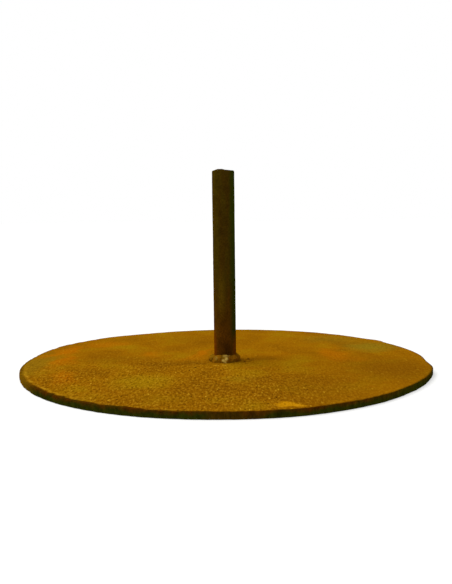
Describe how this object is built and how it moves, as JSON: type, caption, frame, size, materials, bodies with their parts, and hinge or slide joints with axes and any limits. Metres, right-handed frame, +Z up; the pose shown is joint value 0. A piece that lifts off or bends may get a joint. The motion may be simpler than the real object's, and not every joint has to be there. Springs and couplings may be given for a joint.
{
  "type": "flower frog",
  "caption": "Round rusted steel plate lying flat with one plain upright bar welded at its centre, which holds a stem or a flower block.",
  "frame": {"origin": "middle of the plate's underside, where the bar's axis meets the surface it stands on", "axes": "+Z up along the bar, +X to the right and +Y to the back of the plate as it is usually seen"},
  "size_m": [0.1999, 0.2004, 0.0977],
  "materials": {
    "plate_rust": "matte",
    "post_rust": "matte",
    "weld_metal": "satin"
  },
  "bodies": {
    "root": {"base_plate": "plate_rust", "post": "post_rust", "weld_bead": "weld_metal"}
  },
  "joints": []
}
